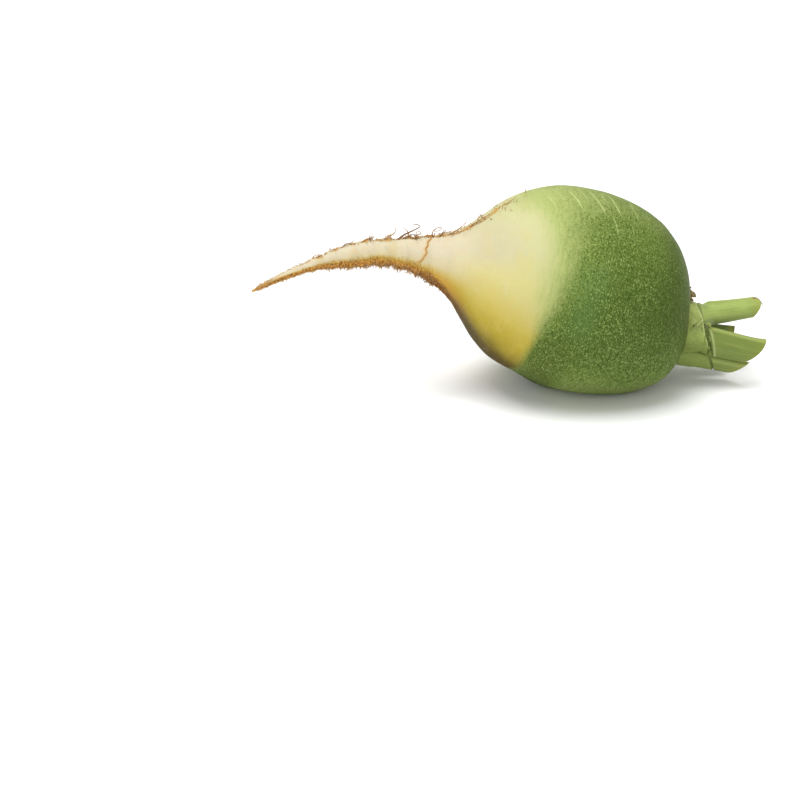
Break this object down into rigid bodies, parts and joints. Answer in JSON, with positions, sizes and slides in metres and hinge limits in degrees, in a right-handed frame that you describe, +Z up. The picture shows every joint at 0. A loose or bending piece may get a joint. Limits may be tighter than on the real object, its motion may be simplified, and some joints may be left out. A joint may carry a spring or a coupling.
{
  "type": "korean radish",
  "caption": "Stout root vegetable, green at the crown and cream towards a long thin tail with side rootlets, its leaf stalks cut short; it lies on a flat spot.",
  "frame": {"origin": "on the flat spot that the radish rests on, under the middle of its body", "axes": "+X towards the crown and its cut leaf stalks, +Z up from the surface that it rests on"},
  "size_m": [0.254, 0.1004, 0.1014],
  "materials": {
    "root_skin": "satin skin, green at the crown shading to cream at the neck and tail, with pale flecks",
    "stalk_upper": "smooth juicy stalk, light green",
    "stalk_middle": "smooth juicy stalk, green",
    "stalk_lower": "smooth juicy stalk, olive green",
    "stalk_rear_high": "smooth juicy stalk, dark green",
    "stalk_rear_low": "smooth juicy stalk, green",
    "heart": "smooth young leaf bases, pale green",
    "dry_scale": "withered, papery and brown"
  },
  "bodies": {
    "root": {"radish_root": "root_skin", "leaf_stalk_upper": "stalk_upper", "leaf_stalk_middle": "stalk_middle", "leaf_stalk_lower": "stalk_lower", "leaf_stalk_rear_high": "stalk_rear_high", "leaf_stalk_rear_low": "stalk_rear_low", "leaf_heart": "heart", "dry_scale": "dry_scale"}
  },
  "joints": []
}
